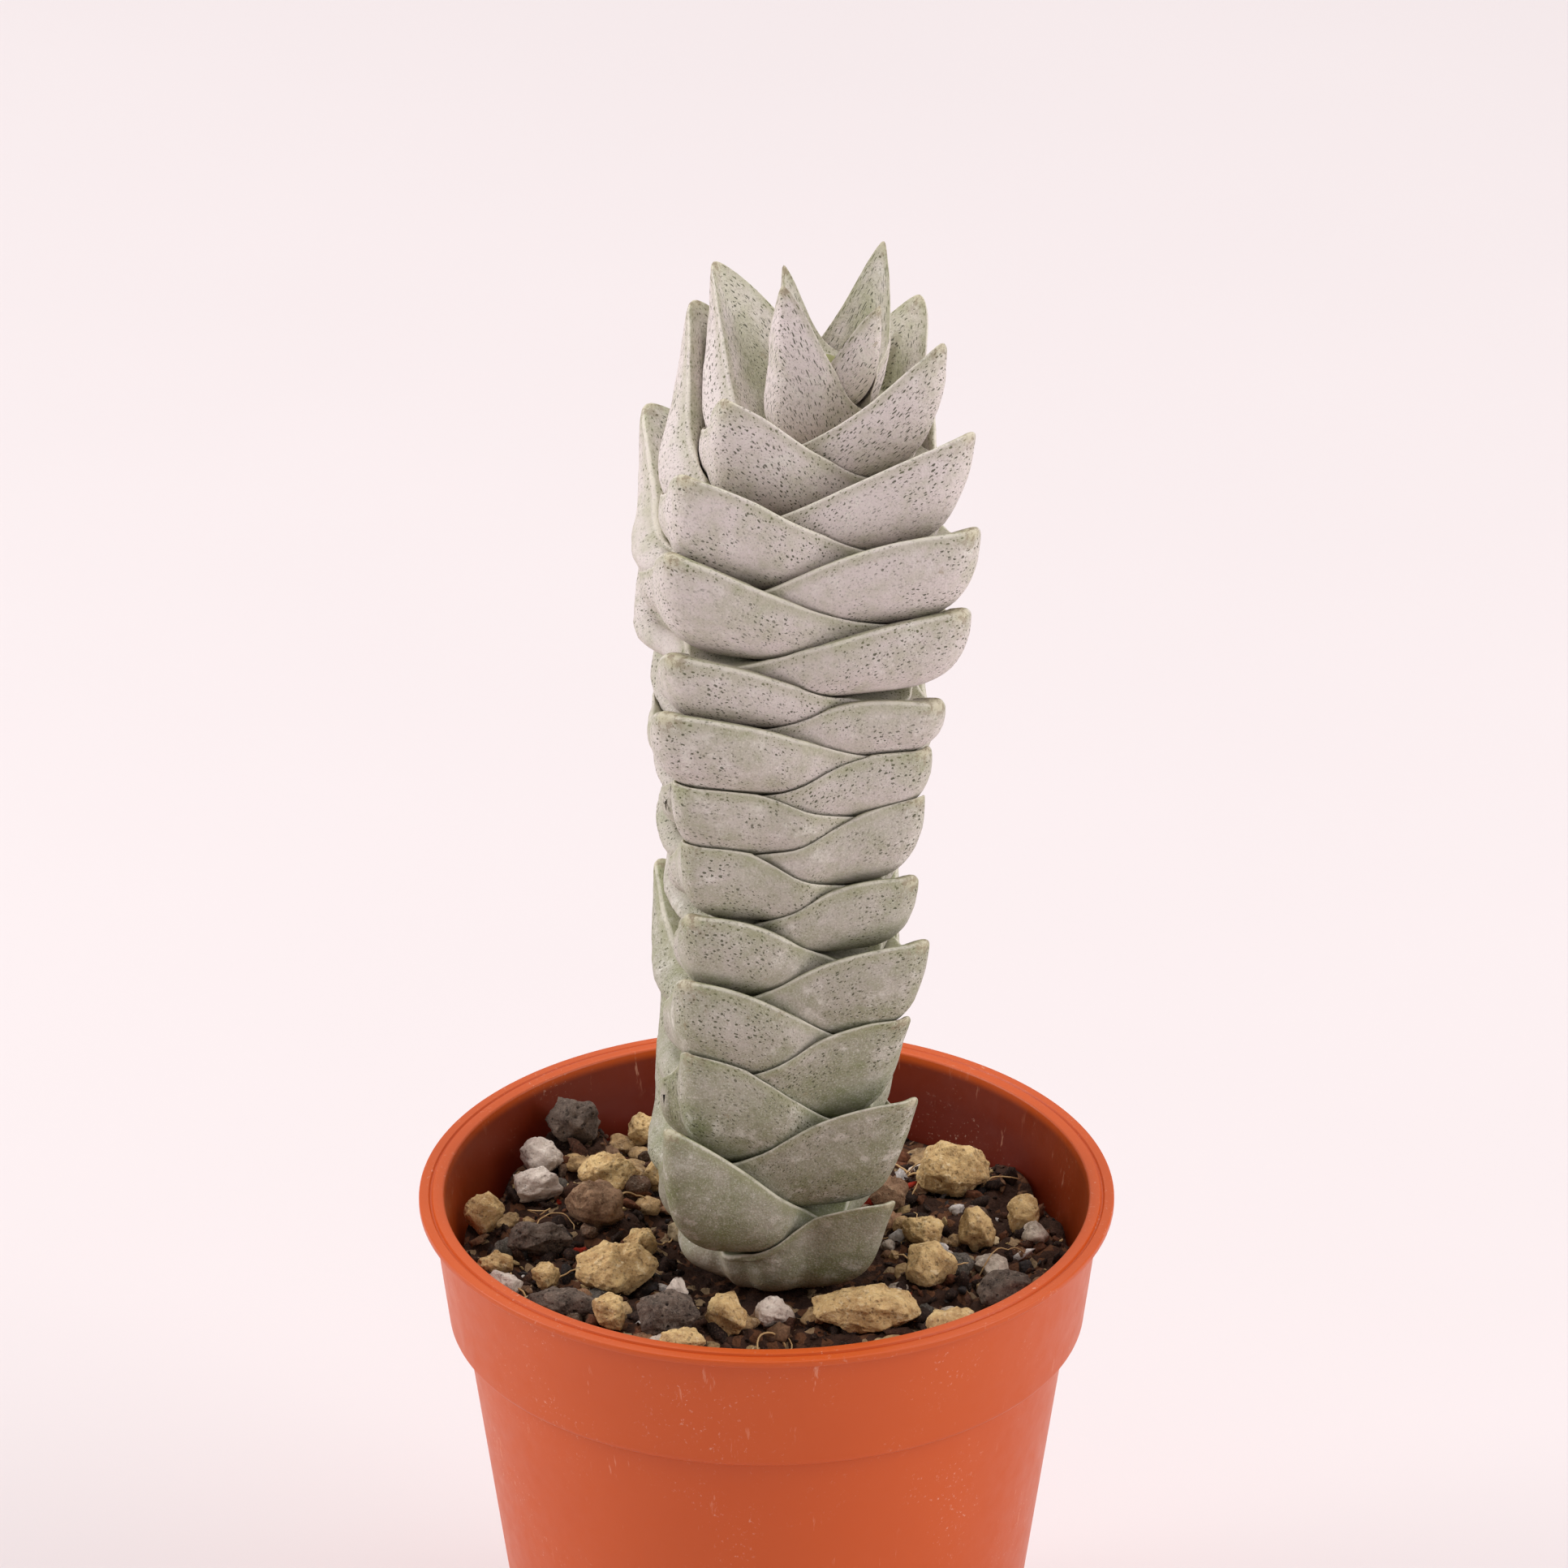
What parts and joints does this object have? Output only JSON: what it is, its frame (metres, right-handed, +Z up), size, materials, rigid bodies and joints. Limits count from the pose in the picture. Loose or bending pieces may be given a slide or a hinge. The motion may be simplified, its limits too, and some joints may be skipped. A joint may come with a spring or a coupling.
{
  "type": "potted crassula deceptor",
  "caption": "Slender upright column of plump grey-white triangular leaves stacked crosswise, rooted in gritty soil in a small round terracotta-coloured pot.",
  "frame": {"origin": "middle of the pot's underside, where it stands", "axes": "+Z up along the pot's axis, -Y towards the pictured front, +X to the picture's right"},
  "size_m": [0.055, 0.055, 0.1309],
  "materials": {
    "pot_plastic": "satin moulded terracotta-coloured plastic, slightly dusty and scuffed",
    "soil": "matte dark peat and bark crumbs with small mineral grains",
    "stem": "matte green-brown stem",
    "leaf_skin": "matte waxy grey-lilac leaf skin over green, with fine dark speckles and pale edges",
    "stone_pumice": "rough porous ochre pumice",
    "stone_lava": "rough porous dark grey-brown lava",
    "stone_pale": "rough lilac-white mineral grain",
    "stone_brown": "rough crumbly brown bark lump"
  },
  "bodies": {
    "root": {"pot": "pot_plastic", "soil": "soil", "stem": "stem", "leaf_pair_01": "leaf_skin", "leaf_pair_02": "leaf_skin", "leaf_pair_03": "leaf_skin", "leaf_pair_04": "leaf_skin", "leaf_pair_05": "leaf_skin", "leaf_pair_06": "leaf_skin", "leaf_pair_07": "leaf_skin", "leaf_pair_08": "leaf_skin", "leaf_pair_09": "leaf_skin", "leaf_pair_10": "leaf_skin", "leaf_pair_11": "leaf_skin", "leaf_pair_12": "leaf_skin", "leaf_pair_13": "leaf_skin", "leaf_pair_14": "leaf_skin", "leaf_pair_15": "leaf_skin", "leaf_pair_16": "leaf_skin", "leaf_pair_17": "leaf_skin", "leaf_pair_18": "leaf_skin", "leaf_pair_19": "leaf_skin", "leaf_pair_20": "leaf_skin", "leaf_pair_21": "leaf_skin", "leaf_pair_22": "leaf_skin", "leaf_pair_23": "leaf_skin", "leaf_pair_24": "leaf_skin", "leaf_pair_25": "leaf_skin", "stone_lava_01": "stone_lava", "stone_pale_01": "stone_pale", "stone_pale_02": "stone_pale", "stone_brown_01": "stone_brown", "stone_pumice_01": "stone_pumice", "stone_brown_02": "stone_brown", "stone_pumice_02": "stone_pumice", "stone_pumice_03": "stone_pumice", "stone_pumice_04": "stone_pumice", "stone_lava_02": "stone_lava", "stone_pumice_05": "stone_pumice", "stone_pale_03": "stone_pale", "stone_pumice_06": "stone_pumice", "stone_lava_03": "stone_lava", "stone_pumice_07": "stone_pumice", "stone_pumice_08": "stone_pumice", "stone_pumice_09": "stone_pumice", "stone_lava_04": "stone_lava", "stone_pale_04": "stone_pale", "stone_pumice_10": "stone_pumice", "stone_pumice_11": "stone_pumice", "stone_pale_05": "stone_pale", "stone_pumice_12": "stone_pumice", "stone_pumice_13": "stone_pumice", "stone_pumice_14": "stone_pumice", "stone_pumice_15": "stone_pumice", "stone_pumice_16": "stone_pumice", "stone_brown_03": "stone_brown", "stone_pumice_17": "stone_pumice", "stone_lava_05": "stone_lava", "stone_pumice_18": "stone_pumice"}
  },
  "joints": []
}
